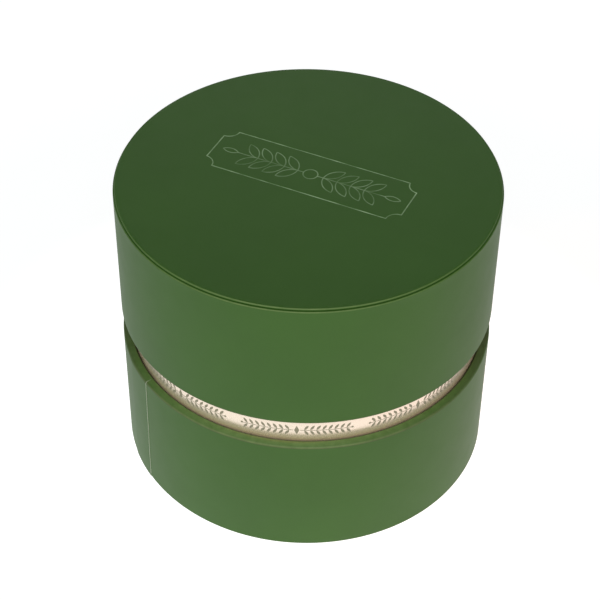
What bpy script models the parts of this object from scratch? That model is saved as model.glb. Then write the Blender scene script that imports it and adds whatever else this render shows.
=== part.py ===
"""Round gift box of rigid paperboard, closed: a lid, a base, and a neck tube glued upright inside the base.

Every wall is a greyboard tube with a board disc set flush in its closed end. Papers cover the boards: green
wraps outside, folded over the rims, a cream wrap on the neck and pale linings inside. The lid slides down over
the neck until its ceiling rests on the neck's edge, which leaves a band of the neck in sight.

Units are metres, +Z is up, and the origin is the centre of the foot, on the surface that the box stands on.
"""
import math
from collections import namedtuple

import bmesh
import bpy
from mathutils import Vector

MM = 0.001

# Driving sizes of the closed box
OUTER_RADIUS = 60.0 * MM
BASE_HEIGHT = 45.1 * MM
REVEAL = 10.2 * MM
LID_HEIGHT = 46.1 * MM

# Boards and papers
TUBE_WALL = 2.0 * MM
NECK_WALL = 1.5 * MM
END_BOARD = 2.0 * MM
TOP_CARD = 0.35 * MM
FLOOR_CARD = 0.5 * MM
WRAP_PAPER = 0.15 * MM
NECK_PAPER = 0.15 * MM
LINING_PAPER = 0.15 * MM
FOOT_PAPER = 0.15 * MM

# Room between layers: glue, the lid's sliding fit on the neck, and the lid's seat on the neck's edge
GLUE_LINE = 0.25 * MM
SLIDE_FIT = 0.25 * MM
SEAT_GAP = 0.25 * MM

# How far each paper runs on past its fold
RIM_TURN_IN = 15.0 * MM
END_TURN_OVER = 12.0 * MM
NECK_TURN_IN = 18.0 * MM
FOOT_MARGIN = 4.0 * MM

# The lid's top card and its paper stand in from the wall by this
TOP_INSET = 0.5 * MM

# The wraps lie flat on the end boards because they are notched there, up to this near the wall
NOTCH_LAND = 5.0 * MM

# Outer radii of the folds
RIM_FOLD = 0.7 * MM
TOP_FOLD = 0.45 * MM
FOOT_FOLD = 0.6 * MM
TUCKED_FOLD = 0.5 * MM

# The wraps' lapped seams: the upper ply ends at the seam, and the base's seam leans a little
SEAM_LAP = 12.0 * MM
SEAM_LEAN = 1.1 * MM

# Facets: every round piece has its corners at the same angles, counted from the base's seam
SEGMENTS = 64
FACET = math.tau / SEGMENTS
BASE_SEAM_ANGLE = math.radians(213.1)
LID_SEAM_FACETS = -22
LID_SEAM_ANGLE = BASE_SEAM_ANGLE + LID_SEAM_FACETS * FACET
NOTCH_PITCH_FACETS = 4
OUTER_FOLD_STEPS = 3
TUCKED_FOLD_STEPS = 2
SMOOTH_ANGLE = math.radians(50.0)
SQUARE = math.radians(90.0)
WELD = 0.001 * MM

# Radii, from the outside in
BOARD_OUTER = OUTER_RADIUS - WRAP_PAPER - GLUE_LINE
BOARD_INNER = BOARD_OUTER - TUBE_WALL
TURN_IN_INNER = BOARD_INNER - GLUE_LINE - WRAP_PAPER
LID_LINING_INNER = BOARD_INNER - GLUE_LINE - LINING_PAPER
NECK_OUTER = min(TURN_IN_INNER, LID_LINING_INNER) - SLIDE_FIT
NECK_BOARD_OUTER = NECK_OUTER - NECK_PAPER - GLUE_LINE
NECK_BOARD_INNER = NECK_BOARD_OUTER - NECK_WALL
NECK_INNER = NECK_BOARD_INNER - GLUE_LINE - NECK_PAPER
NECK_LINING_INNER = NECK_BOARD_INNER - GLUE_LINE - LINING_PAPER

# Heights in the base, from the foot up
BASE_WRAP_LOW = FOOT_PAPER + GLUE_LINE
BASE_TUBE_LOW = BASE_WRAP_LOW + WRAP_PAPER + GLUE_LINE
BASE_TUBE_TOP = BASE_HEIGHT - WRAP_PAPER - GLUE_LINE
NECK_LOW = BASE_TUBE_LOW + END_BOARD + GLUE_LINE

# Heights in the lid, from its lower rim up
LID_TUBE_LOW = WRAP_PAPER + GLUE_LINE
CARD_TOP = LID_HEIGHT - WRAP_PAPER - GLUE_LINE
CARD_LOW = CARD_TOP - TOP_CARD
LID_WRAP_TOP = CARD_LOW - GLUE_LINE
LID_TUBE_TOP = LID_WRAP_TOP - WRAP_PAPER - GLUE_LINE
LID_BOARD_LOW = LID_TUBE_TOP - END_BOARD
CEILING_TOP = LID_BOARD_LOW - GLUE_LINE
CEILING_LOW = CEILING_TOP - LINING_PAPER

# The lid's rim stands above the base's by the reveal, and the neck reaches up to the lid's ceiling
LID_RIM_HEIGHT = BASE_HEIGHT + REVEAL
NECK_TOP = LID_RIM_HEIGHT + CEILING_LOW - SEAT_GAP
NECK_TUBE_TOP = NECK_TOP - NECK_PAPER - GLUE_LINE

# Finishes: linear colour and roughness
Finish = namedtuple("Finish", "colour roughness")
GREYBOARD = Finish((0.33, 0.30, 0.26), 0.90)
WHITE_CARD = Finish((0.72, 0.70, 0.64), 0.80)
GREEN_PAPER = Finish((0.065, 0.130, 0.036), 0.45)
CREAM_PAPER = Finish((0.86, 0.78, 0.66), 0.60)
LINING = Finish((0.82, 0.79, 0.71), 0.75)

# A corner of a folded sheet, on its outer face; a fold radius of zero marks a free end of the sheet
Corner = namedtuple("Corner", "radius height fold steps lapped", defaults=(0.0, 0, False))


def clear_scene():
    """Remove what a new Blender scene holds."""
    for thing in list(bpy.data.objects):
        bpy.data.objects.remove(thing, do_unlink=True)


def body_frame(name, height):
    """An empty on the box's axis, which a body's pieces hang from."""
    empty = bpy.data.objects.new(name, None)
    empty.location.z = height
    empty.empty_display_size = OUTER_RADIUS
    bpy.context.collection.objects.link(empty)
    return empty


def finish_material(name, finish):
    """A plain Principled material for one piece."""
    material = bpy.data.materials.new(name)
    material.use_nodes = True
    shader = material.node_tree.nodes["Principled BSDF"]
    shader.inputs["Base Color"].default_value = (*finish.colour, 1.0)
    shader.inputs["Roughness"].default_value = finish.roughness
    shader.inputs["Metallic"].default_value = 0.0
    return material


def finished_piece(name, shape, finish, frame):
    """Turn the built shape into a named, shaded object on its body's frame."""
    bmesh.ops.remove_doubles(shape, verts=shape.verts, dist=WELD)
    bmesh.ops.recalc_face_normals(shape, faces=shape.faces)
    mesh = bpy.data.meshes.new(name)
    shape.to_mesh(mesh)
    shape.free()
    mesh.shade_smooth()
    mesh.set_sharp_from_angle(angle=SMOOTH_ANGLE)
    mesh.materials.append(finish_material(name, finish))
    piece = bpy.data.objects.new(name, mesh)
    piece.parent = frame
    bpy.context.collection.objects.link(piece)
    return piece


def round_point(radius, height, angle):
    """A point of the box, from its radius, its height and its angle about the axis."""
    return (radius * math.cos(angle), radius * math.sin(angle), height)


def turned(name, outline, finish, frame):
    """Spin an outline of (radius, height) points about the axis; a run along the axis stays open."""
    shape = bmesh.new()
    points = [shape.verts.new(round_point(radius, height, BASE_SEAM_ANGLE)) for radius, height in outline]
    runs = [
        shape.edges.new((points[index - 1], points[index]))
        for index in range(len(points))
        if outline[index - 1][0] > 0.0 or outline[index][0] > 0.0
    ]
    bmesh.ops.spin(
        shape,
        geom=points + runs,
        cent=(0.0, 0.0, 0.0),
        axis=(0.0, 0.0, 1.0),
        angle=math.tau,
        steps=SEGMENTS,
        use_merge=True,
    )
    return finished_piece(name, shape, finish, frame)


def tube(name, outer, inner, low, top, finish, frame):
    """A plain tube between two radii and two heights."""
    return turned(name, [(outer, low), (outer, top), (inner, top), (inner, low)], finish, frame)


def disc(name, radius, low, top, finish, frame):
    """A plain disc between two heights."""
    return turned(name, [(0.0, low), (radius, low), (radius, top), (0.0, top)], finish, frame)


def sheet_face(path, shift, lift=0.0):
    """One face of a folded sheet, with each square corner rounded.

    The sheet's outer side is to the left of the path. The face lies outside the path by the shift, and at
    lapped corners by the lift as well.
    """
    places = [Vector((corner.radius, corner.height)) for corner in path]
    face = []
    for index, corner in enumerate(path):
        here = places[index]
        reach = corner.fold + shift + (lift if corner.lapped else 0.0)
        if corner.fold == 0.0:
            run = places[1] - here if index == 0 else here - places[index - 1]
            outward = Vector((-run.y, run.x)).normalized()
            face.append(tuple(here + outward * reach))
            continue
        back = (places[index - 1] - here).normalized()
        onward = (places[index + 1] - here).normalized()
        centre = here + (back + onward) * corner.fold
        for step in range(corner.steps + 1):
            turn = SQUARE * step / corner.steps
            face.append(tuple(centre - (onward * math.cos(turn) + back * math.sin(turn)) * reach))
    return face


def sheet_outline(path, thickness, lift=0.0):
    """The closed outline of a folded sheet: its outer face, then its inner face backwards."""
    return sheet_face(path, 0.0, lift) + sheet_face(path, -thickness)[::-1]


def lapped_wrap(name, path, seam_angle, lean, finish, frame):
    """A wrap folded round a board tube, whose upper ply ends in a step at the seam.

    The seam angle holds at the wrap's top, and the seam leans back by the given length down to its foot. The
    end that lies on the end board is the one nearest the axis, and it is cut into tabs by notches.
    """
    shape = bmesh.new()
    tab_end = min(path, key=lambda corner: corner.radius)
    notch_root = tab_end._replace(radius=OUTER_RADIUS - NOTCH_LAND)
    notched_path = [notch_root if corner is tab_end else corner for corner in path]
    lap_facets = max(1, round(SEAM_LAP / (FACET * OUTER_RADIUS)))
    heights = [height for _, height in sheet_outline(path, WRAP_PAPER)]
    low, top = min(heights), max(heights)
    rings = []
    for step in range(SEGMENTS + 1):
        lift = WRAP_PAPER if step >= SEGMENTS - lap_facets else 0.0
        notched = step % SEGMENTS % NOTCH_PITCH_FACETS == 0
        outline = sheet_outline(notched_path if notched else path, WRAP_PAPER, lift)
        at_seam = step in (0, SEGMENTS)
        ring = []
        for radius, height in outline:
            angle = seam_angle + step * FACET
            if at_seam:
                angle += lean / OUTER_RADIUS * (min(max(height, low), top) - top) / (top - low)
            ring.append(shape.verts.new(round_point(radius, height, angle)))
        rings.append(ring)
    for before, after in zip(rings, rings[1:] + rings[:1]):
        for index in range(len(before)):
            shape.faces.new((before[index - 1], before[index], after[index], after[index - 1]))
    return finished_piece(name, shape, finish, frame)


def make_lid(frame):
    """The lid's pieces, with heights counted from its lower rim."""
    tube("lid_tube", BOARD_OUTER, BOARD_INNER, LID_TUBE_LOW, LID_TUBE_TOP, GREYBOARD, frame)
    disc("lid_end_board", BOARD_INNER - GLUE_LINE, LID_BOARD_LOW, LID_TUBE_TOP, GREYBOARD, frame)
    wall_path = [
        Corner(OUTER_RADIUS - END_TURN_OVER, LID_WRAP_TOP),
        Corner(OUTER_RADIUS, LID_WRAP_TOP, TOP_FOLD, OUTER_FOLD_STEPS, True),
        Corner(OUTER_RADIUS, 0.0, RIM_FOLD, OUTER_FOLD_STEPS, True),
        Corner(TURN_IN_INNER, 0.0, TUCKED_FOLD, TUCKED_FOLD_STEPS),
        Corner(TURN_IN_INNER, RIM_TURN_IN),
    ]
    lapped_wrap("lid_wall_wrap", wall_path, LID_SEAM_ANGLE, 0.0, GREEN_PAPER, frame)
    top_radius = OUTER_RADIUS - TOP_INSET
    card_radius = top_radius - WRAP_PAPER - GLUE_LINE
    disc("lid_top_card", card_radius, CARD_LOW, CARD_TOP, WHITE_CARD, frame)
    top_path = [
        Corner(0.0, LID_HEIGHT),
        Corner(top_radius, LID_HEIGHT, TOP_FOLD, OUTER_FOLD_STEPS),
        Corner(top_radius, CARD_LOW),
    ]
    turned("lid_top_paper", sheet_outline(top_path, WRAP_PAPER), GREEN_PAPER, frame)
    lining_outer = LID_LINING_INNER + LINING_PAPER
    lining_low = RIM_TURN_IN + GLUE_LINE
    tube("lid_wall_lining", lining_outer, LID_LINING_INNER, lining_low, CEILING_TOP, LINING, frame)
    disc("lid_ceiling_lining", LID_LINING_INNER - GLUE_LINE, CEILING_LOW, CEILING_TOP, LINING, frame)


def make_base(frame):
    """The base's shell, with heights counted from the foot."""
    tube("base_tube", BOARD_OUTER, BOARD_INNER, BASE_TUBE_LOW, BASE_TUBE_TOP, GREYBOARD, frame)
    end_top = BASE_TUBE_LOW + END_BOARD
    disc("base_end_board", BOARD_INNER - GLUE_LINE, BASE_TUBE_LOW, end_top, GREYBOARD, frame)
    wall_path = [
        Corner(TURN_IN_INNER, BASE_HEIGHT - RIM_TURN_IN),
        Corner(TURN_IN_INNER, BASE_HEIGHT, TUCKED_FOLD, TUCKED_FOLD_STEPS),
        Corner(OUTER_RADIUS, BASE_HEIGHT, RIM_FOLD, OUTER_FOLD_STEPS, True),
        Corner(OUTER_RADIUS, BASE_WRAP_LOW, FOOT_FOLD, OUTER_FOLD_STEPS, True),
        Corner(OUTER_RADIUS - END_TURN_OVER, BASE_WRAP_LOW),
    ]
    lapped_wrap("base_wall_wrap", wall_path, BASE_SEAM_ANGLE, SEAM_LEAN, GREEN_PAPER, frame)
    disc("base_foot_paper", OUTER_RADIUS - FOOT_MARGIN, 0.0, FOOT_PAPER, GREEN_PAPER, frame)


def make_neck(frame):
    """The neck glued inside the base, its printed wrap, and the lining and floor that it holds."""
    tube("neck_tube", NECK_BOARD_OUTER, NECK_BOARD_INNER, NECK_LOW, NECK_TUBE_TOP, GREYBOARD, frame)
    wrap_path = [
        Corner(NECK_INNER, NECK_TOP - NECK_TURN_IN),
        Corner(NECK_INNER, NECK_TOP, TUCKED_FOLD, TUCKED_FOLD_STEPS),
        Corner(NECK_OUTER, NECK_TOP, TUCKED_FOLD, TUCKED_FOLD_STEPS),
        Corner(NECK_OUTER, NECK_LOW),
    ]
    turned("neck_wrap", sheet_outline(wrap_path, NECK_PAPER), CREAM_PAPER, frame)
    lining_outer = NECK_LINING_INNER + LINING_PAPER
    lining_top = NECK_TOP - NECK_TURN_IN - GLUE_LINE
    tube("base_lining", lining_outer, NECK_LINING_INNER, NECK_LOW, lining_top, LINING, frame)
    floor_radius = NECK_LINING_INNER - GLUE_LINE
    disc("base_floor_card", floor_radius, NECK_LOW, NECK_LOW + FLOOR_CARD, LINING, frame)


def main():
    """Build the box closed."""
    clear_scene()
    base_frame = body_frame("base_frame", 0.0)
    lid_frame = body_frame("lid_frame", LID_RIM_HEIGHT)
    make_base(base_frame)
    make_neck(base_frame)
    make_lid(lid_frame)
    bpy.context.view_layer.update()


main()
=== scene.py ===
"""Looks of a round gift box of rigid paperboard, in a plain pale studio.

The greyboard and the top card stay as the frame's own solids. The papers and the floor card are finer sheets
around them: the green wraps with their lapped seams, the top sheet with a pressed cartouche, the neck's cream
wrap with its printed garland, and the plain linings and discs.
"""

import math
from collections import namedtuple

import bmesh
import bpy
from mathutils import Matrix, Vector, kdtree, noise
from mathutils.geometry import delaunay_2d_cdt


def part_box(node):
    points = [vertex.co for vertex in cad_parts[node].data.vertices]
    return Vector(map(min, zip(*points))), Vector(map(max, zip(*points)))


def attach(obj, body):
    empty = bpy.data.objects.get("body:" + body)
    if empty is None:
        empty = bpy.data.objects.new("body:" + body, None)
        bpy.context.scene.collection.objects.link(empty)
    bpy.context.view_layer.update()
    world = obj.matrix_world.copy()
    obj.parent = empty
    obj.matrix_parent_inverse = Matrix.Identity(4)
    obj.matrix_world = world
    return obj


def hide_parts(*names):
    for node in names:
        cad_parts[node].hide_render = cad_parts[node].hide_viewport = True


MM = 0.001
WHITE = (1.0, 1.0, 1.0)
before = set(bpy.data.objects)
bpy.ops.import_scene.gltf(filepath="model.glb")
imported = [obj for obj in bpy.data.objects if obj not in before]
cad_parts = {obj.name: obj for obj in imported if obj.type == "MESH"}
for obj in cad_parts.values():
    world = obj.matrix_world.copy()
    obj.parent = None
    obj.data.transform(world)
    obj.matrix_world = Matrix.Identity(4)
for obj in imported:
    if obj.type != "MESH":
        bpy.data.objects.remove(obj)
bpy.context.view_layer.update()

# Papers, and the radii of their folds
PAPER = 0.15 * MM
GLUE_LINE = 0.25 * MM
RIM_FOLD = 0.7 * MM
TOP_FOLD = 0.45 * MM
FOOT_FOLD = 0.6 * MM
TUCKED_FOLD = 0.5 * MM
CARD_FOLD = 0.3 * MM

# How far the papers are turned in at rims and over at ends
RIM_TURN_IN = 15.0 * MM
NECK_TURN_IN = 18.0 * MM
END_TURN_OVER = 12.0 * MM

# The wraps' lapped seams
SEAM_LAP = 12.0 * MM
SEAM_RAMP = 2.5 * MM
SEAM_LEAN = 1.1 * MM
BASE_SEAM_ANGLE = math.radians(213.1)
LID_SEAM_ANGLE = math.radians(89.35)

# Softened edges of the flat papers and of the floor card
CEILING_EDGE = 0.05 * MM
FLOOR_EDGE = 0.1 * MM
FOOT_EDGE = 0.02 * MM

# The rims' crown, and the slack of the glued papers where they face straight out
RIM_CROWN = 0.2 * MM
SLACK_DEPTH = 0.03 * MM
SLACK_LENGTH = 28.0 * MM
STRAIGHT_OUT = 0.99

# Painted light on the rims: how strong the painted reflection of the neck is beside the neck and at the wall,
# the front angle where it and the folds' painted highlights are strongest, and the shares left on the far
# side
RIM_LIGHT_AT_NECK = 1.05
RIM_LIGHT_AT_WALL = 0.7
FRONT_LIGHT_ANGLE = math.radians(262.0)
FAR_SIDE_RIM_LIGHT_SHARE = 0.2
FAR_SIDE_FOLD_SHARE = 0.15

# The pressed cartouche on the lid's top: a plaque with scooped corners round a leafy sprig
MARK_TURN = math.radians(-25.0)
MARK_CENTRE = Vector((0.6 * MM, 2.4 * MM))
PLAQUE_HALF_LENGTH = 33.0 * MM
PLAQUE_HALF_HEIGHT = 9.5 * MM
PLAQUE_SCOOP = 3.6 * MM
SPRIG_HALF_LENGTH = 25.0 * MM
SPRIG_PITCH = 4.6 * MM
SPRIG_START = 4.4 * MM
LEAF_LENGTH = 7.4 * MM
LEAF_WIDTH = 2.9 * MM
LEAF_LEAN = math.radians(47.0)
TIP_LEAF_SHARE = 0.7
ROSETTE_RADIUS = 2.3 * MM

# The grooves: rows lie at shares of the width from the middle, and the sprig is pressed less deep
GROOVE_WIDTH = 0.5 * MM
GROOVE_DEPTH = 0.12 * MM
GROOVE_STEP = 0.32 * MM
GROOVE_SAMPLES_PER_STEP = 5.0
GROOVE_ROW_SHARES = (-0.9, -0.5, -0.25, 0.0, 0.25, 0.5, 0.9)
GROOVE_WELD = 0.02 * MM
SPRIG_PRESS_SHARE = 0.55

# How far in from the edge of the flat a ring of points lies, which keeps the triangles there short
GUARD_RING_SHARE = 0.02

# The printed garland on the neck: groups of leaves on a stem, mirrored about a lozenge
GROUPS = 9
GROUP_CENTRE_ANGLE = math.radians(267.5)
BAND_LOW_OVER_RIM = 1.6 * MM
BAND_HIGH_OVER_RIM = 7.0 * MM
BAND_ROWS = 4
GARLAND_MIDDLE_OVER_RIM = 4.3 * MM
GARLAND_START = 2.3 * MM
GARLAND_PITCH = 1.85 * MM
GARLAND_LEAVES = 8
GARLAND_LEAF_LENGTH = 2.3 * MM
GARLAND_LEAF_WIDTH = 0.85 * MM
GARLAND_LEAN = math.radians(56.0)
GARLAND_STEM = 0.25 * MM
GARLAND_STEP = 0.3 * MM
LOZENGE_HALF_WIDTH = 0.8 * MM
LOZENGE_HALF_HEIGHT = 1.9 * MM
BUD_RADIUS = 0.42 * MM
PRINT_WELD = 0.002 * MM

# Painted light on a rim's flat: where the painted reflection of the neck is weak, at the sides and back, the
# flat is painted in shade, and where it is strongest, beside the neck, the neck's warm colour is painted on
# as reflected light
RIM_SHADE_START = 0.08
RIM_SHADE_END = 0.42
RIM_REFLECTION_SHARE = 0.3
RIM_REFLECTION_START = 0.88

# Painted shade at the neck's foot: how brown the neck is painted at the base's rim, and how far above the rim
# that ends
NECK_FOOT_SHADE_SHARE = 0.9
NECK_FOOT_SHADE_REACH = 3.5 * MM

# Fineness of the sheets
SEGMENTS = 288
ROW_STEP = 3.0 * MM
LEAN_RINGS = 12
WELD = 0.0005 * MM
SMOOTH_ANGLE = math.radians(40.0)

# The turns of the spots across a fold or a rounded edge
FOLD_STEPS = 8
QUARTER_TURNS = [math.radians(90.0) * step / FOLD_STEPS for step in range(FOLD_STEPS + 1)]

# The camera's place and turns, and its lens, whose sizes are in millimetres as Blender takes them
CAMERA_DISTANCE = 417.46 * MM
CAMERA_HEIGHT = 426.99 * MM
CAMERA_PITCH = math.radians(41.984)
CAMERA_YAW = math.radians(-0.301)
CAMERA_ROLL = math.radians(0.609)
CAMERA_CLIP_START = 10.0 * MM
SENSOR_WIDTH = 36.0
FOCAL_LENGTH = 103.233

# The floor, a light table: its glow is given at distances in metres from the middle of the box's foot
FLOOR_REACH = 4.0
FLOOR_SIDES = 64
FLOOR_DROP = 0.05 * MM
FLOOR_CLOUDS = 0.4
FLOOR_GREY = (0.24, 0.24, 0.24)
FLOOR_GREY_LIGHTER = (0.26, 0.26, 0.26)
TABLE_CENTRE = (0.0, 0.0, 0.0)
TABLE_GLOW = ((0.07, 1.18), (0.13, 0.87), (0.18, 0.865), (0.25, 0.895), (0.40, 0.90), (0.90, 0.60))
WARM_TINT = (1.1, 1.0, 0.97)
WARM_CENTRE = (0.13, -0.04, 0.0)
WARM_RADIUS = 0.06
WARM_EDGE = 0.16

# The tent: a place on it is a direction from the box, from -1 to 1 along each axis
TENT_FRONT_GLOW = 0.92
TENT_BACK_GLOW = 0.12
TENT_FRONT_END = -0.55
TENT_BACK_START = 0.4
HORIZON_GLOW = 0.6
HORIZON_HEIGHT = 0.28
OVERHEAD_START = 0.35
TENT_RIGHT_TINT = (1.02, 0.80, 0.86)
ZENITH_TINT = (0.32, 0.48, 0.51)

# The soft boxes, in metres and watts
SoftBox = namedtuple("SoftBox", "name place width height power tint")
SOFT_BOXES = (
    SoftBox("front_softbox", (0.0, -0.72, 0.90), width=0.4, height=0.3, power=3.4, tint=(0.90, 1.0, 0.95)),
    SoftBox("back_softbox", (0.0, 1.2, 0.65), width=1.2, height=0.3, power=2.6, tint=WHITE),
)
SOFT_BOX_AIM = (0.0, 0.0, 0.05)

# Places of a sheet's materials in its list
PRINTED, RAW, INKED = 0, 1, 2

# The triangulation's output that fills everything between its points
FILLED = 0

# A corner of a sheet's path, a spot of its outline, and a rim's height with the radii of its two sides
Corner = namedtuple("Corner", "radius height rounding lapped", defaults=(0.0, False))
Spot = namedtuple("Spot", "radius height out_radius out_height fold lapped", defaults=(0.0, 0.0, 0.0, False))
Rim = namedtuple("Rim", "height tucked wall")


def node_radii(node):
    """The least and the greatest distance of a node's corners from the box's axis."""
    reach = [math.hypot(vertex.co.x, vertex.co.y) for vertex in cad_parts[node].data.vertices]
    return min(reach), max(reach)


def node_heights(node):
    """The lowest and the highest point of a node."""
    low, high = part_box(node)
    return low[2], high[2]


def round_point(radius, height, angle):
    """A point from its radius, its height and its angle about the axis."""
    return Vector((radius * math.cos(angle), radius * math.sin(angle), height))


def smooth_step(value):
    """Ease a share between 0 and 1."""
    value = min(max(value, 0.0), 1.0)
    return value * value * (3.0 - 2.0 * value)


def fold_wear_and_highlight(turn):
    """How much a fold is marked at a turn across it, partly real wear and partly painted highlight: wholly at
    its middle, and not at its ends.
    """
    return math.sin(2.0 * turn) ** 2


def front_light_share(angle, least):
    """The share of painted light at an angle about the axis: 1 at the front, where it is strongest, and least
    on the far side.
    """
    return least + (1.0 - least) * max(0.0, math.cos(angle - FRONT_LIGHT_ANGLE)) ** 2


def sheet_face(path, shift):
    """One face of a folded sheet as spots, with rounded corners and long runs divided into rows.

    The sheet's outer side is to the left of the path, and the face lies outside it by the shift.
    """
    places = [Vector((corner.radius, corner.height)) for corner in path]
    spots = []

    def end_run(place, outward, lapped):
        """Add the rows that divide a run, and the spot at its end."""
        if spots:
            last = spots[-1]
            run = place - Vector((last.radius, last.height))
            rows = int(run.length / ROW_STEP)
            for row in range(1, rows + 1):
                between = place - run * (1.0 - row / (rows + 1))
                spots.append(Spot(*between, *outward, 0.0, lapped and last.lapped))
        spots.append(Spot(*place, *outward, 0.0, lapped))

    for index, corner in enumerate(path):
        here = places[index]
        if corner.rounding == 0.0:
            run = places[1] - here if index == 0 else here - places[index - 1]
            outward = Vector((-run.y, run.x)).normalized()
            end_run(here + outward * shift, outward, corner.lapped)
            continue
        back = (places[index - 1] - here).normalized()
        onward = (places[index + 1] - here).normalized()
        centre = here + (back + onward) * corner.rounding
        for turn in QUARTER_TURNS:
            outward = -(onward * math.cos(turn) + back * math.sin(turn))
            place = centre + outward * (corner.rounding + shift)
            if turn == 0.0:
                end_run(place, outward, corner.lapped)
            else:
                spots.append(Spot(*place, *outward, fold_wear_and_highlight(turn), corner.lapped))
    return spots


def rounded_edge(radius, top, rounding, marked):
    """Spots over a rounded upper edge, from the flat top out and down, with a share of a fold's wear and
    painted highlight.
    """
    return [
        Spot(
            radius - rounding + rounding * math.sin(turn),
            top - rounding + rounding * math.cos(turn),
            fold=marked * fold_wear_and_highlight(turn),
        )
        for turn in QUARTER_TURNS
    ]


class Skin:
    """A sheet in the making: its mesh, and the layers that its material reads: fold marks of wear and painted
    highlight, painted light on the rims, and how deep the grooves are pressed.
    """

    def __init__(self):
        self.shape = bmesh.new()
        self.fold = self.shape.verts.layers.float.new("fold")
        self.rim_light = self.shape.verts.layers.float.new("rim_light")
        self.pressed = self.shape.verts.layers.float.new("pressed")

    def vertex(self, place, fold=0.0, rim_light=0.0, pressed=0.0):
        made = self.shape.verts.new(place)
        made[self.fold] = fold
        made[self.rim_light] = rim_light
        made[self.pressed] = pressed
        return made

    def face(self, corners, slot):
        made = self.shape.faces.new(corners)
        made.material_index = slot

    def turned(self, outline, start=0.0, least_share=1.0):
        """Rings of vertices: the outline turned about the box's axis, its fold marks of wear and painted
        highlight fading to the least share away from the front.
        """
        rings = []
        for step in range(SEGMENTS):
            angle = start + step * math.tau / SEGMENTS
            share = front_light_share(angle, least_share)
            rings.append([
                self.vertex(round_point(spot.radius, spot.height, angle), spot.fold * share)
                for spot in outline
            ])
        return rings

    def join(self, rings, slots, skipped=()):
        """Fill the quads between neighbouring rings; slots gives each row's material."""
        for before, after in zip(rings, rings[1:] + rings[:1]):
            for row in range(len(before)):
                if row not in skipped:
                    self.face((before[row - 1], before[row], after[row], after[row - 1]), slots[row])

    def finish(self, name, materials, body, slot, node):
        """Weld the sheet, make it an object of its body, and let it stand for its node."""
        bmesh.ops.remove_doubles(self.shape, verts=self.shape.verts, dist=WELD)
        bmesh.ops.recalc_face_normals(self.shape, faces=self.shape.faces)
        mesh = bpy.data.meshes.new(name)
        self.shape.to_mesh(mesh)
        self.shape.free()
        mesh.shade_smooth()
        mesh.set_sharp_from_angle(angle=SMOOTH_ANGLE)
        for material in materials:
            mesh.materials.append(material)
        piece = bpy.data.objects.new(name, mesh)
        bpy.context.collection.objects.link(piece)
        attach(piece, body)
        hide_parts(node)


def outline_slots(outer, inner):
    """Materials of an outline's rows: the outer face is printed, and the ends and the glued face are raw."""
    return [RAW] + [PRINTED] * (len(outer) - 1) + [RAW] * len(inner)


# The wraps, the linings and the flat discs


def slack(spot, angle):
    """How far the glued paper lies in from its nominal face, where it faces straight out."""
    if spot.out_radius <= STRAIGHT_OUT:
        return 0.0
    place = round_point(spot.radius, spot.height, angle)
    return SLACK_DEPTH * (0.5 + 0.5 * noise.noise(place / SLACK_LENGTH))


def rim_share(spot, rim):
    """How far across the rim a spot lies, from the tucked side to the wall."""
    return min(max((spot.radius - rim.tucked) / (rim.wall - rim.tucked), 0.0), 1.0)


def painted_rim_light(spot, angle, rim):
    """How much painted light, reflected from the neck, a spot gets: only the rim's flat gets it, and most
    beside the neck.
    """
    if abs(spot.height - rim.height) > RIM_FOLD:
        return 0.0
    rim_light = RIM_LIGHT_AT_NECK + (RIM_LIGHT_AT_WALL - RIM_LIGHT_AT_NECK) * rim_share(spot, rim)
    return rim_light * abs(spot.out_height) * (1.0 - spot.fold) * front_light_share(angle, FAR_SIDE_RIM_LIGHT_SHARE)


def crowned(spot, rim):
    """A spot's height, with the rim's flat rounded off a little towards the wall."""
    if abs(spot.height - rim.height) > RIM_FOLD + PAPER:
        return spot.height
    across = rim_share(spot, rim)
    return spot.height - math.copysign(RIM_CROWN * across * across, spot.out_height)


def lapped_wrap(body, path, rim_height, seam_angle, lean, materials):
    """A green wrap round a tube: folded at its ends, with its upper ply ending in a step at the seam."""
    skin = Skin()
    outer = sheet_face(path, 0.0)
    inner = sheet_face(path, -PAPER)[::-1]
    wall = max(spot.radius for spot in outer)
    low = min(spot.height for spot in outer)
    top = max(spot.height for spot in outer)
    tucked = next(corner.radius for corner in path if corner.height == rim_height)
    rim = Rim(rim_height, tucked, wall)
    spacing = math.tau / SEGMENTS
    rings = []
    for step in range(SEGMENTS + 1):
        # The sheet's last stretch climbs over its first, and both ends lean with the seam
        to_seam = (SEGMENTS - step) * spacing * wall
        lift = PAPER * (1.0 - smooth_step((to_seam - SEAM_LAP) / SEAM_RAMP))
        near = max(0.0, 1.0 - min(step, SEGMENTS - step) / LEAN_RINGS)
        ring = []
        for index, spot in enumerate(outer + inner):
            drop = (top - spot.height) / (top - low)
            angle = seam_angle + step * spacing - near * lean * drop / wall
            place = Vector((spot.radius, crowned(spot, rim)))
            if index < len(outer):
                outward = Vector((spot.out_radius, spot.out_height))
                place += outward * ((lift if spot.lapped else 0.0) - slack(spot, angle))
            # Fold marks are partly real wear and partly painted highlight, fading away from the front
            fold = spot.fold * front_light_share(angle, FAR_SIDE_FOLD_SHARE)
            # The rim's flat gets painted light, reflected from the neck and strongest at the front
            ring.append(skin.vertex(round_point(*place, angle), fold, painted_rim_light(spot, angle, rim)))
        rings.append(ring)
    skin.join(rings, outline_slots(outer, inner))
    seam = set(rings[0] + rings[-1])
    for face in skin.shape.faces:
        if seam.issuperset(face.verts):
            face.material_index = RAW
    skin.finish(f"{body}_wall_sheet", materials, body, "green_wrap", f"{body}_wall_wrap")


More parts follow.
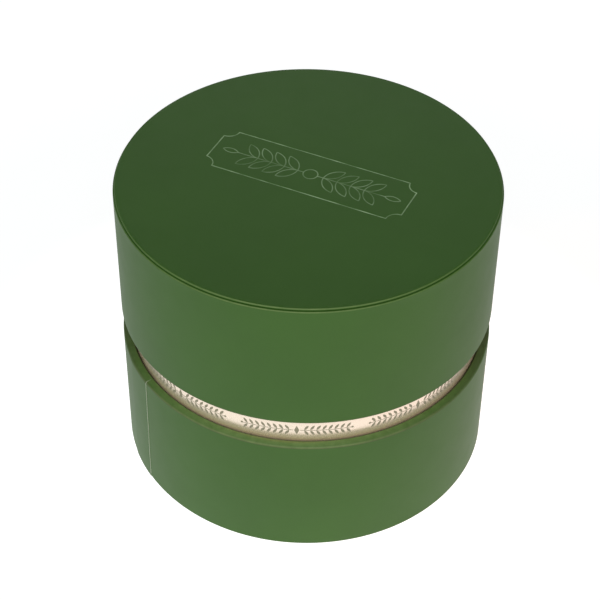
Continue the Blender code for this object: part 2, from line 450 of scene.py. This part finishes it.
def wall_wraps(materials):
    """The wraps of base and lid, which have the same wall and the same turn-in."""
    _, lapped = node_radii("base_wall_wrap")
    wall = lapped - PAPER
    board_inner, _ = node_radii("base_tube")
    turn_in = board_inner - GLUE_LINE - PAPER
    foot, rim = node_heights("base_wall_wrap")
    path = [
        Corner(turn_in, rim - RIM_TURN_IN),
        Corner(turn_in, rim, TUCKED_FOLD),
        Corner(wall, rim, RIM_FOLD, lapped=True),
        Corner(wall, foot, FOOT_FOLD, lapped=True),
        Corner(wall - END_TURN_OVER, foot),
    ]
    lapped_wrap("base", path, rim, BASE_SEAM_ANGLE, SEAM_LEAN, materials)
    rim, top = node_heights("lid_wall_wrap")
    path = [
        Corner(wall - END_TURN_OVER, top),
        Corner(wall, top, TOP_FOLD, lapped=True),
        Corner(wall, rim, RIM_FOLD, lapped=True),
        Corner(turn_in, rim, TUCKED_FOLD),
        Corner(turn_in, rim + RIM_TURN_IN),
    ]
    lapped_wrap("lid", path, rim, LID_SEAM_ANGLE, 0.0, materials)


def standing_lining(node, body, materials):
    """A lining paper inside a tube, in the place of its solid."""
    skin = Skin()
    inner_radius, outer_radius = node_radii(node)
    low, top = node_heights(node)
    path = [Corner(inner_radius, low), Corner(inner_radius, top)]
    outer = sheet_face(path, 0.0)
    inner = sheet_face(path, inner_radius - outer_radius)[::-1]
    skin.join(skin.turned(outer + inner), outline_slots(outer, inner))
    skin.finish(node.replace("lining", "liner"), materials, body, "lining", node)


def flat_disc(name, node, rounding, materials, body, slot):
    """A flat disc in the place of its solid, whose upper edge is softly rounded."""
    skin = Skin()
    _, radius = node_radii(node)
    low, top = node_heights(node)
    outline = [Spot(0.0, top), *rounded_edge(radius, top, rounding, 0.0), Spot(radius, low), Spot(0.0, low)]
    skin.join(skin.turned(outline), [PRINTED] * len(outline), skipped=(0,))
    skin.finish(name, materials, body, slot, node)


# The lid's top and its cartouche


def arc(centre, radius, start, end, step):
    """Points along an arc, from one angle to another."""
    count = max(2, math.ceil(abs(end - start) * radius / step))
    turns = [start + (end - start) * i / count for i in range(count + 1)]
    return [centre + radius * Vector((math.cos(turn), math.sin(turn))) for turn in turns]


def straight(start, end, step):
    """Points along a straight run."""
    count = max(1, math.ceil((end - start).length / step))
    return [start.lerp(end, i / count) for i in range(count + 1)]


def leaf_outline(base, direction, length, width, step):
    """A pointed leaf as one closed line: two arcs from its base to its tip and back."""
    sag = width / 2.0
    radius = (length * length / 4.0 + sag * sag) / (2.0 * sag)
    half = math.asin(min(1.0, length / 2.0 / radius))
    along = Vector((math.cos(direction), math.sin(direction)))
    side = Vector((-along.y, along.x))
    middle = base + along * length / 2.0
    count = max(3, math.ceil(2.0 * half * radius / step))
    upper = []
    for i in range(count + 1):
        turn = -half + 2.0 * half * i / count
        height = radius * math.cos(turn) - radius + sag
        upper.append(middle + along * radius * math.sin(turn) + side * height)
    lower = [middle * 2.0 - point for point in upper]
    return upper + lower[1:]


def leaf_heading(side, up, lean):
    """The direction of a leaf that leans outward from a stem's middle, above or below the stem."""
    return up * lean if side > 0 else math.pi - up * lean


def plaque_outline(step):
    """The plaque's closed line: straight sides and a quarter circle scooped out of each corner."""
    line = []
    for quarter, (sign_x, sign_y) in enumerate(((1, 1), (-1, 1), (-1, -1), (1, -1))):
        corner = Vector((sign_x * PLAQUE_HALF_LENGTH, sign_y * PLAQUE_HALF_HEIGHT))
        start = math.radians(270.0 + 90.0 * quarter)
        line += arc(corner, PLAQUE_SCOOP, start, start - math.radians(90.0), step)
    closed = line + line[:1]
    filled = []
    for before, after in zip(closed, closed[1:]):
        filled += straight(before, after, step)[:-1]
    return filled + closed[-1:]


def cartouche_lines(step):
    """All the lines of the cartouche, the plaque's first, each a list of points on the lid's top."""
    lines = [plaque_outline(step), arc(Vector((0.0, 0.0)), ROSETTE_RADIUS, 0.0, math.tau, step)]
    for side in (1, -1):
        stem_start = Vector((side * ROSETTE_RADIUS, 0.0))
        stem_end = Vector((side * SPRIG_HALF_LENGTH, 0.0))
        lines.append(straight(stem_start, stem_end, step))
        reach = SPRIG_START
        while reach < SPRIG_HALF_LENGTH - SPRIG_PITCH / 2.0:
            for up in (1, -1):
                heading = leaf_heading(side, up, LEAF_LEAN)
                base = Vector((side * reach, 0.0))
                lines.append(leaf_outline(base, heading, LEAF_LENGTH, LEAF_WIDTH, step))
            reach += SPRIG_PITCH
        tip_length = LEAF_LENGTH * TIP_LEAF_SHARE
        tip_width = LEAF_WIDTH * TIP_LEAF_SHARE
        lines.append(leaf_outline(stem_end, leaf_heading(side, 1, 0.0), tip_length, tip_width, step))
    turned = Matrix.Rotation(MARK_TURN, 2)
    return [[turned @ point + MARK_CENTRE for point in line] for line in lines]


def groove_rows(lines):
    """Points that carry the grooves: rows along each line, and a flat row just outside its shoulders."""
    points = []
    for line in lines:
        for index, point in enumerate(line):
            before = line[max(index - 1, 0)]
            after = line[min(index + 1, len(line) - 1)]
            run = (after - before).normalized()
            side = Vector((-run.y, run.x))
            points += [point + side * GROOVE_WIDTH * share for share in GROOVE_ROW_SHARES]
    return points


def pressed_flat(skin, radius, top):
    """The flat of the lid's top, triangulated so that the cartouche's grooves can be pressed into it."""
    lines = cartouche_lines(GROOVE_STEP / GROOVE_SAMPLES_PER_STEP)
    samples = [point for line in lines for point in line]
    tree = kdtree.KDTree(len(samples))
    for index, point in enumerate(samples):
        tree.insert(point.to_3d(), index)
    tree.balance()
    edge = [round_point(radius, 0.0, i * math.tau / SEGMENTS).to_2d() for i in range(SEGMENTS)]
    guard = [point * (1.0 - GUARD_RING_SHARE) for point in edge]
    points = edge + guard + groove_rows(cartouche_lines(GROOVE_STEP))
    edges = [(i, (i + 1) % SEGMENTS) for i in range(SEGMENTS)]
    places, _, triangles, *_ = delaunay_2d_cdt(points, edges, [], FILLED, GROOVE_WELD)
    verts = []
    for place in places:
        _, nearest, away = tree.find(place.to_3d())
        depth = 1.0 - smooth_step(away / (GROOVE_WIDTH / 2.0))
        if nearest >= len(lines[0]):
            depth *= SPRIG_PRESS_SHARE
        verts.append(skin.vertex((place.x, place.y, top - GROOVE_DEPTH * depth), pressed=depth))
    for triangle in triangles:
        skin.face([verts[index] for index in triangle], PRINTED)


def top_sheet(materials):
    """The lid's top paper, with the cartouche pressed into it and its edge folded down over the card."""
    skin = Skin()
    _, radius = node_radii("lid_top_paper")
    low, top = node_heights("lid_top_paper")
    pressed_flat(skin, radius - TOP_FOLD, top)
    outline = rounded_edge(radius, top, TOP_FOLD, 1.0)
    curl_centre = Vector((radius - CARD_FOLD, low + CARD_FOLD))
    for turns, rounding in ((QUARTER_TURNS, CARD_FOLD), (QUARTER_TURNS[::-1], CARD_FOLD - PAPER)):
        for turn in turns:
            place = curl_centre + rounding * Vector((math.cos(turn), -math.sin(turn)))
            outline.append(Spot(*place))
    outline += [Spot(radius - PAPER, top - PAPER), Spot(0.0, top - PAPER)]
    printed = 2 * len(QUARTER_TURNS)
    slots = [PRINTED] * printed + [RAW] * (len(outline) - printed)
    skin.join(skin.turned(outline, least_share=FAR_SIDE_FOLD_SHARE), slots, skipped=(0,))
    skin.finish("lid_top_sheet", materials, "lid", "green_wrap", "lid_top_paper")


# The neck and its garland


def counterclockwise(shape):
    """The same polygon, with its points in the order that the triangulation takes as filled."""
    area = sum(before.cross(after) for before, after in zip(shape, shape[1:] + shape[:1]))
    return shape if area > 0.0 else shape[::-1]


def garland_shapes():
    """The inked shapes of one group, as closed polygons about the group's centre."""
    shapes = [
        [
            Vector((LOZENGE_HALF_WIDTH, 0.0)),
            Vector((0.0, LOZENGE_HALF_HEIGHT)),
            Vector((-LOZENGE_HALF_WIDTH, 0.0)),
            Vector((0.0, -LOZENGE_HALF_HEIGHT)),
        ]
    ]
    half_stem = GARLAND_STEM / 2
    reach = GARLAND_START + GARLAND_PITCH * GARLAND_LEAVES
    for side in (1, -1):
        stem_start = Vector((side * (LOZENGE_HALF_WIDTH + GARLAND_STEM), half_stem))
        stem_end = Vector((side * (reach - BUD_RADIUS), half_stem))
        upper = straight(stem_start, stem_end, GARLAND_PITCH)
        shapes.append(upper + [Vector((point.x, -point.y)) for point in reversed(upper)])
        shapes.append(arc(Vector((side * reach, 0.0)), BUD_RADIUS, 0.0, math.tau, GARLAND_STEP)[:-1])
        for index in range(GARLAND_LEAVES):
            for up in (1, -1):
                base = Vector((side * (GARLAND_START + GARLAND_PITCH * index), up * half_stem))
                heading = leaf_heading(side, up, GARLAND_LEAN)
                leaf = leaf_outline(base, heading, GARLAND_LEAF_LENGTH, GARLAND_LEAF_WIDTH, GARLAND_STEP)
                shapes.append(leaf[:-1])
    return shapes


def printed_band(skin, radius, low, high, middle):
    """The band of the neck with the garland: one group's triangles, repeated round the neck."""
    period = math.tau / GROUPS * radius
    columns = SEGMENTS // GROUPS
    alongs = [period * (column / columns - 0.5) for column in range(columns + 1)]
    heights = [low + (high - low) * row / BAND_ROWS for row in range(1, BAND_ROWS)]
    shapes = garland_shapes()
    inked_reach = max(abs(point.x) for shape in shapes for point in shape) + period / columns / 2.0
    bare = [along for along in alongs[1:-1] if abs(along) > inked_reach]
    points = [Vector((along, height)) for along in alongs for height in (low, high)]
    points += [Vector((end, height)) for height in heights for end in (-period / 2.0, period / 2.0)]
    points += [Vector((along, height)) for along in bare for height in heights]
    polygons = []
    for shape in shapes:
        polygons.append(list(range(len(points), len(points) + len(shape))))
        points += [Vector((point.x, point.y + middle)) for point in counterclockwise(shape)]
    places, _, triangles, _, _, owners = delaunay_2d_cdt(points, [], polygons, FILLED, PRINT_WELD)
    for group in range(GROUPS):
        centre = GROUP_CENTRE_ANGLE + group * math.tau / GROUPS
        verts = [skin.vertex(round_point(radius, place.y, centre + place.x / radius)) for place in places]
        for triangle, owner in zip(triangles, owners):
            skin.face([verts[index] for index in triangle], INKED if owner else PRINTED)


def neck_sheet(materials):
    """The neck's cream wrap: printed outside, folded over the neck's edge and turned in."""
    skin = Skin()
    inner_radius, outer_radius = node_radii("neck_wrap")
    low, top = node_heights("neck_wrap")
    _, rim = node_heights("base_wall_wrap")
    band_low = rim + BAND_LOW_OVER_RIM
    band_high = rim + BAND_HIGH_OVER_RIM

    def in_band(spot):
        """Whether a spot lies on the outside, between the printed band's edges."""
        outside = abs(spot.radius - outer_radius) < WELD
        return outside and band_low + WELD < spot.height < band_high - WELD

    turned_in = [
        Corner(inner_radius, top - NECK_TURN_IN),
        Corner(inner_radius, top, TUCKED_FOLD),
        Corner(outer_radius, top, TUCKED_FOLD),
    ]
    banded = [Corner(outer_radius, band_high), Corner(outer_radius, band_low)]
    foot = [Corner(outer_radius, low)]
    outer = [spot for spot in sheet_face(turned_in + banded + foot, 0.0) if not in_band(spot)]
    inner = sheet_face(turned_in + foot, -PAPER)[::-1]
    band_row = [row for row in range(1, len(outer)) if abs(outer[row].height - band_low) < WELD]
    rings = skin.turned(outer + inner, start=GROUP_CENTRE_ANGLE - math.pi / GROUPS)
    skin.join(rings, outline_slots(outer, inner), skipped=band_row)
    printed_band(skin, outer_radius, band_low, band_high, rim + GARLAND_MIDDLE_OVER_RIM)
    skin.finish("neck_sheet", materials, "base", "neck_wrap", "neck_wrap")


# The materials

Grain = namedtuple("Grain", "size detail roughness depth")


class Nodes:
    """Short calls for building one node tree, whose places are in the coordinates given."""

    def __init__(self, tree, coordinates):
        self.tree = tree
        self.place = self.add("ShaderNodeTexCoord").outputs[coordinates]

    def add(self, kind):
        return self.tree.nodes.new(kind)

    def link(self, source, target):
        self.tree.links.new(source, target)

    def noise(self, size, detail, roughness):
        """Noise whose features are about the given size in metres."""
        node = self.add("ShaderNodeTexNoise")
        node.inputs["Scale"].default_value = 1.0 / size
        node.inputs["Detail"].default_value = detail
        node.inputs["Roughness"].default_value = roughness
        self.link(self.place, node.inputs["Vector"])
        return node.outputs["Fac"]

    def patches(self, size, detail, roughness, band=(0.3, 0.7), span=(0.0, 1.0)):
        """Noise whose values within the band are spread over the span."""
        return self.ranged(self.noise(size, detail, roughness), *span, *band)

    def attribute(self, name):
        """A layer of the sheet's wear."""
        node = self.add("ShaderNodeAttribute")
        node.attribute_name = name
        return node.outputs["Fac"]

    def apart(self):
        """The X, Y and Z of a place."""
        node = self.add("ShaderNodeSeparateXYZ")
        self.link(self.place, node.inputs["Vector"])
        return node.outputs

    def distance(self, centre):
        """The distance of a place from a centre."""
        node = self.add("ShaderNodeVectorMath")
        node.operation = "DISTANCE"
        self.link(self.place, node.inputs[0])
        node.inputs[1].default_value = centre
        return node.outputs["Value"]

    def combined(self, operation, first, second):
        """Two values as a product or a maximum."""
        node = self.add("ShaderNodeMath")
        node.operation = operation
        self.link(first, node.inputs[0])
        self.link(second, node.inputs[1])
        return node.outputs["Value"]

    def ranged(self, value, low, high, from_low=0.0, from_high=1.0, smooth=False):
        """Map a value between two limits."""
        node = self.add("ShaderNodeMapRange")
        node.interpolation_type = "SMOOTHSTEP" if smooth else "LINEAR"
        node.inputs["From Min"].default_value = from_low
        node.inputs["From Max"].default_value = from_high
        node.inputs["To Min"].default_value = low
        node.inputs["To Max"].default_value = high
        self.link(value, node.inputs["Value"])
        return node.outputs["Result"]

    def mixed(self, share, first, second):
        """Mix two colours, each given as numbers or as a socket."""
        node = self.add("ShaderNodeMix")
        node.data_type = "RGBA"
        self.link(share, node.inputs["Factor"])
        for socket, colour in ((node.inputs["A"], first), (node.inputs["B"], second)):
            if isinstance(colour, tuple):
                socket.default_value = (*colour, 1.0)
            else:
                self.link(colour, socket)
        return node.outputs["Result"]


class Finish(Nodes):
    """A material in the making."""

    def __init__(self, name):
        self.material = bpy.data.materials.new(name)
        self.material.use_nodes = True
        super().__init__(self.material.node_tree, "Object")
        self.shader = self.tree.nodes["Principled BSDF"]

    def marked(self, layer, patchy):
        """The share of a layer of marks that shows through uneven patches: fold wear and painted highlight,
        painted rim light, or pressed lines.
        """
        return self.combined("MULTIPLY", self.attribute(layer), patchy)

    def bump(self, *grains):
        """Stack grains, each a noise with its depth in metres, onto the shader's normal."""
        normal = None
        for grain in grains:
            node = self.add("ShaderNodeBump")
            node.inputs["Strength"].default_value = 1.0
            node.inputs["Distance"].default_value = grain.depth
            self.link(self.noise(grain.size, grain.detail, grain.roughness), node.inputs["Height"])
            if normal:
                self.link(normal, node.inputs["Normal"])
            normal = node.outputs["Normal"]
        self.feed("Normal", normal)

    def feed(self, name, socket):
        """Let a socket drive one of the shader's inputs."""
        self.link(socket, self.shader.inputs[name])

    def set(self, **values):
        """Set the shader's own inputs."""
        for name, value in values.items():
            self.shader.inputs[name.replace("_", " ")].default_value = value


def scaled(colour, factor):
    """A colour made lighter or darker."""
    return tuple(channel * factor for channel in colour)


# Colours, as linear red, green and blue
GREEN = (0.033, 0.099, 0.006)
GREEN_DARKER = scaled(GREEN, 0.95)
GREEN_LIGHTER = scaled(GREEN, 1.05)
GREEN_TOOTH = scaled(GREEN, 1.5)
# Lighter green on folds: partly real wear, partly painted highlight
GREEN_FOLD_WEAR_AND_HIGHLIGHT = (0.165, 0.232, 0.072)
# Painted light on the rim's flat, reflected from the neck
GREEN_NECK_BOUNCE = (0.18, 0.278, 0.09)
# Lighter green in the pressed grooves: partly the pressed paper's own tone, partly painted highlight
GREEN_PRESSED = (0.520, 0.680, 0.400)
# Painted shade on the rim's flat at the sides and back
RIM_SHADE = (0.050, 0.058, 0.016)
# Painted reflection of the cream neck on the rim beside it
RIM_NECK_REFLECTION = (0.42, 0.21, 0.08)
RAW_PAPER = (0.62, 0.64, 0.52)
RAW_FIBRE = scaled(RAW_PAPER, 0.9)
CREAM = (0.93, 0.785, 0.645)
CREAM_DARKER = scaled(CREAM, 0.97)
CREAM_FIBRE = scaled(CREAM, 0.85)
# Painted shade at the neck's foot
CREAM_SHADED = (0.93, 0.68, 0.44)
INK = (0.265, 0.240, 0.160)
INK_THIN = scaled(CREAM, 0.6)
LINING_WHITE = (0.86, 0.81, 0.73)
LINING_DARKER = scaled(LINING_WHITE, 0.96)
LINING_FIBRE = scaled(LINING_WHITE, 0.82)
CARD_WHITE = (0.72, 0.70, 0.64)
CARD_DARKER = scaled(CARD_WHITE, 0.95)
CARD_FIBRE = scaled(CARD_WHITE, 0.85)
BOARD_GREY = (0.30, 0.27, 0.23)
BOARD_DARKER = scaled(BOARD_GREY, 0.85)
BOARD_LIGHTER = scaled(BOARD_GREY, 1.1)
BOARD_FLECK = scaled(BOARD_GREY, 0.45)


def green_paper():
    """Matt-laminated green paper: fine tooth, faint mottling, wear and painted highlights on folds, painted
    reflected light and painted shade on the rims, and pressed lines that are lighter, partly as painted
    highlight.
    """
    finish = Finish("green_wrap_paper")
    mottle = finish.patches(size=30.0 * MM, detail=4.0, roughness=0.55)
    tone = finish.mixed(mottle, GREEN_DARKER, GREEN_LIGHTER)
    tooth = finish.patches(size=0.5 * MM, detail=2.0, roughness=0.6, band=(0.35, 0.75), span=(0.0, 0.12))
    tone = finish.mixed(tooth, tone, GREEN_TOOTH)
    rim_light = finish.attribute("rim_light")
    # Painted shade where the painted rim light is weak, at the rim's sides and back
    rising = finish.ranged(rim_light, 0.0, 1.0, 0.0, RIM_SHADE_START)
    falling = finish.ranged(rim_light, 1.0, 0.0, RIM_SHADE_START, RIM_SHADE_END)
    tone = finish.mixed(finish.combined("MULTIPLY", rising, falling), tone, RIM_SHADE)
    patchy = finish.patches(size=2.5 * MM, detail=3.0, roughness=0.6, span=(0.55, 0.95))
    # Folds: partly real wear, partly painted highlight
    tone = finish.mixed(finish.marked("fold", patchy), tone, GREEN_FOLD_WEAR_AND_HIGHLIGHT)
    # Painted light reflected from the neck onto the rim's flat
    tone = finish.mixed(finish.marked("rim_light", patchy), tone, GREEN_NECK_BOUNCE)
    # Painted reflection of the neck's warm colour where the rim lies beside the neck
    neck_reflection = finish.ranged(rim_light, 0.0, RIM_REFLECTION_SHARE, RIM_REFLECTION_START, RIM_LIGHT_AT_NECK)
    tone = finish.mixed(neck_reflection, tone, RIM_NECK_REFLECTION)
    uneven = finish.patches(size=5.0 * MM, detail=2.0, roughness=0.5, band=(0.35, 0.65), span=(0.35, 1.0))
    # Pressed lines lighter: partly the paper's own pressed tone, partly painted highlight
    tone = finish.mixed(finish.marked("pressed", uneven), tone, GREEN_PRESSED)
    finish.feed("Base Color", tone)
    matt = finish.patches(size=6.0 * MM, detail=3.0, roughness=0.5, span=(0.535, 0.565))
    finish.feed("Roughness", matt)
    finish.bump(
        Grain(size=0.35 * MM, detail=2.0, roughness=0.5, depth=0.004 * MM),
        Grain(size=9.0 * MM, detail=2.0, roughness=0.5, depth=0.008 * MM),
    )
    finish.set(Specular_IOR_Level=0.35)
    return finish.material


def raw_paper():
    """The paper's uncoated back and cut edges."""
    finish = Finish("raw_paper")
    fibre = finish.patches(size=0.25 * MM, detail=3.0, roughness=0.6)
    finish.feed("Base Color", finish.mixed(fibre, RAW_FIBRE, RAW_PAPER))
    finish.bump(Grain(size=0.2 * MM, detail=2.0, roughness=0.6, depth=0.01 * MM))
    finish.set(Roughness=0.9)
    return finish.material


def cream_paper():
    """The neck's pearlescent cream paper, with painted shade, browner, where the base's rim meets it."""
    finish = Finish("neck_cream_paper")
    mottle = finish.patches(size=12.0 * MM, detail=4.0, roughness=0.55)
    tone = finish.mixed(mottle, CREAM_DARKER, CREAM)
    fibre = finish.patches(size=0.3 * MM, detail=3.0, roughness=0.6, band=(0.45, 0.75), span=(0.0, 0.25))
    tone = finish.mixed(fibre, tone, CREAM_FIBRE)
    _, rim = node_heights("base_wall_wrap")
    # Painted shade at the neck's foot, browner towards the base's rim
    foot_shade = finish.ranged(finish.apart()["Z"], NECK_FOOT_SHADE_SHARE, 0.0, rim, rim + NECK_FOOT_SHADE_REACH)
    finish.feed("Base Color", finish.mixed(foot_shade, tone, CREAM_SHADED))
    lustre = finish.patches(size=4.0 * MM, detail=3.0, roughness=0.5, span=(0.20, 0.27))
    finish.feed("Roughness", lustre)
    finish.bump(Grain(size=0.3 * MM, detail=3.0, roughness=0.6, depth=0.003 * MM))
    finish.set(Metallic=0.62)
    return finish.material


def garland_ink():
    """Grey-green ink, a little uneven where the paper's tooth takes less of it."""
    finish = Finish("neck_garland_ink")
    thin = finish.patches(size=0.4 * MM, detail=3.0, roughness=0.6, band=(0.5, 0.8), span=(0.0, 0.5))
    finish.feed("Base Color", finish.mixed(thin, INK, INK_THIN))
    finish.bump(Grain(size=0.3 * MM, detail=3.0, roughness=0.6, depth=0.004 * MM))
    finish.set(Roughness=0.55, Specular_IOR_Level=0.25)
    return finish.material


def lining_paper():
    """Plain pale lining paper."""
    finish = Finish("pale_lining_paper")
    mottle = finish.patches(size=10.0 * MM, detail=4.0, roughness=0.55)
    tone = finish.mixed(mottle, LINING_DARKER, LINING_WHITE)
    fibre = finish.patches(size=0.4 * MM, detail=3.0, roughness=0.65, band=(0.5, 0.8), span=(0.0, 0.3))
    finish.feed("Base Color", finish.mixed(fibre, tone, LINING_FIBRE))
    finish.bump(Grain(size=0.35 * MM, detail=3.0, roughness=0.6, depth=0.01 * MM))
    finish.set(Roughness=0.8)
    return finish.material


def greyboard():
    """Grey recycled board with darker and lighter fibres."""
    finish = Finish("greyboard")
    clumps = finish.patches(size=3.0 * MM, detail=5.0, roughness=0.6)
    tone = finish.mixed(clumps, BOARD_DARKER, BOARD_LIGHTER)
    flecks = finish.patches(size=0.35 * MM, detail=2.0, roughness=0.7, band=(0.62, 0.75), span=(0.0, 0.8))
    finish.feed("Base Color", finish.mixed(flecks, tone, BOARD_FLECK))
    finish.bump(Grain(size=0.4 * MM, detail=4.0, roughness=0.65, depth=0.03 * MM))
    finish.set(Roughness=0.92)
    return finish.material


def white_card():
    """Smooth pale card."""
    finish = Finish("white_card")
    mottle = finish.patches(size=8.0 * MM, detail=4.0, roughness=0.55)
    tone = finish.mixed(mottle, CARD_DARKER, CARD_WHITE)
    fibre = finish.patches(size=0.3 * MM, detail=3.0, roughness=0.6, band=(0.5, 0.8), span=(0.0, 0.3))
    finish.feed("Base Color", finish.mixed(fibre, tone, CARD_FIBRE))
    finish.bump(Grain(size=0.3 * MM, detail=3.0, roughness=0.6, depth=0.006 * MM))
    finish.set(Roughness=0.75)
    return finish.material


def dress_box():
    """Make every sheet of the box and give the boards and the top card their finish."""
    green, raw, cream, ink = green_paper(), raw_paper(), cream_paper(), garland_ink()
    lining, board, card = lining_paper(), greyboard(), white_card()
    wall_wraps((green, raw))
    top_sheet((green, raw))
    neck_sheet((cream, raw, ink))
    standing_lining("lid_wall_lining", "lid", (lining, raw))
    standing_lining("base_lining", "base", (lining, raw))
    flat_disc("lid_ceiling_liner", "lid_ceiling_lining", CEILING_EDGE, (lining,), "lid", "lining")
    flat_disc("base_floor_liner", "base_floor_card", FLOOR_EDGE, (lining,), "base", "lining")
    flat_disc("base_foot_sheet", "base_foot_paper", FOOT_EDGE, (green,), "base", "green_wrap")
    for node in ("lid_tube", "lid_end_board", "base_tube", "base_end_board", "neck_tube", "lid_top_card"):
        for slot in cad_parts[node].material_slots:
            slot.material = card if node == "lid_top_card" else board


# The studio


def light_table():
    """The floor's finish: it glows, most of all near the box, and it shows from above only."""
    finish = Finish("light_table")
    shade = finish.patches(size=FLOOR_CLOUDS, detail=2.0, roughness=0.5)
    finish.feed("Base Color", finish.mixed(shade, FLOOR_GREY, FLOOR_GREY_LIGHTER))
    ramp = finish.add("ShaderNodeValToRGB")
    finish.link(finish.distance(TABLE_CENTRE), ramp.inputs["Fac"])
    # A ramp always keeps a stop, so the second of its first two is dropped after the new ones are in
    stops = ramp.color_ramp.elements
    stops.remove(stops[0])
    for reach, glow in TABLE_GLOW:
        stops.new(reach).color = (glow, glow, glow, 1.0)
    stops.remove(stops[-1])
    finish.feed("Emission Strength", ramp.outputs["Color"])
    warmth = finish.ranged(finish.distance(WARM_CENTRE), 1.0, 0.0, WARM_RADIUS, WARM_EDGE)
    finish.feed("Emission Color", finish.mixed(warmth, WHITE, WARM_TINT))
    finish.set(Roughness=0.9, Specular_IOR_Level=0.0)
    # From below the floor is clear
    one_way = finish.add("ShaderNodeMixShader")
    finish.link(finish.add("ShaderNodeNewGeometry").outputs["Backfacing"], one_way.inputs["Fac"])
    finish.link(finish.shader.outputs["BSDF"], one_way.inputs[1])
    finish.link(finish.add("ShaderNodeBsdfTransparent").outputs["BSDF"], one_way.inputs[2])
    finish.link(one_way.outputs["Shader"], finish.tree.nodes["Material Output"].inputs["Surface"])
    return finish.material


def pale_floor():
    """A plain pale floor that the box stands on."""
    shape = bmesh.new()
    bmesh.ops.create_circle(shape, cap_ends=True, segments=FLOOR_SIDES, radius=FLOOR_REACH)
    mesh = bpy.data.meshes.new("floor")
    shape.to_mesh(mesh)
    shape.free()
    mesh.materials.append(light_table())
    floor = bpy.data.objects.new("floor", mesh)
    floor.location.z = -FLOOR_DROP
    bpy.context.collection.objects.link(floor)


def soft_light(soft_box):
    """A rectangular light that looks at the gift box."""
    lamp = bpy.data.lights.new(soft_box.name, "AREA")
    lamp.shape = "RECTANGLE"
    lamp.size = soft_box.width
    lamp.size_y = soft_box.height
    lamp.energy = soft_box.power
    lamp.color = soft_box.tint
    light = bpy.data.objects.new(soft_box.name, lamp)
    light.location = soft_box.place
    view = Vector(SOFT_BOX_AIM) - Vector(soft_box.place)
    light.rotation_euler = view.to_track_quat("-Z", "Y").to_euler()
    bpy.context.collection.objects.link(light)


def light_studio():
    """A tent that is bright in front of the gift box and dim behind it, with a soft box front and back."""
    world = bpy.data.worlds.new("studio")
    world.use_nodes = True
    nodes = Nodes(world.node_tree, "Generated")
    background = nodes.tree.nodes["Background"]
    towards = nodes.apart()
    glows = (TENT_FRONT_GLOW, TENT_BACK_GLOW)
    front = nodes.ranged(towards["Y"], *glows, TENT_FRONT_END, TENT_BACK_START, smooth=True)
    horizon = nodes.ranged(towards["Z"], HORIZON_GLOW, 0.0, 0.0, HORIZON_HEIGHT)
    nodes.link(nodes.combined("MAXIMUM", front, horizon), background.inputs["Strength"])
    sides = nodes.mixed(towards["X"], WHITE, TENT_RIGHT_TINT)
    overhead = nodes.ranged(towards["Z"], 0.0, 1.0, OVERHEAD_START, 1.0, smooth=True)
    nodes.link(nodes.mixed(overhead, sides, ZENITH_TINT), background.inputs["Color"])
    bpy.context.scene.world = world
    for soft_box in SOFT_BOXES:
        soft_light(soft_box)


def place_camera():
    """The camera looks down at the box along the photograph's line of sight."""
    ahead = Vector((
        math.sin(CAMERA_YAW) * math.cos(CAMERA_PITCH),
        math.cos(CAMERA_YAW) * math.cos(CAMERA_PITCH),
        -math.sin(CAMERA_PITCH),
    ))
    level = Vector((math.cos(CAMERA_YAW), -math.sin(CAMERA_YAW), 0.0))
    upright = level.cross(ahead)
    right = math.cos(CAMERA_ROLL) * level + math.sin(CAMERA_ROLL) * upright
    up = -math.sin(CAMERA_ROLL) * level + math.cos(CAMERA_ROLL) * upright
    lens = bpy.data.cameras.new("camera")
    lens.sensor_width = SENSOR_WIDTH
    lens.lens = FOCAL_LENGTH
    lens.clip_start = CAMERA_CLIP_START
    camera = bpy.data.objects.new("camera", lens)
    turn = Matrix((right, up, -ahead)).transposed().to_4x4()
    camera.matrix_world = Matrix.Translation((0.0, -CAMERA_DISTANCE, CAMERA_HEIGHT)) @ turn
    bpy.context.collection.objects.link(camera)
    bpy.context.scene.camera = camera


dress_box()
pale_floor()
light_studio()
place_camera()
bpy.context.scene.view_settings.view_transform = "Standard"
bpy.context.view_layer.update()
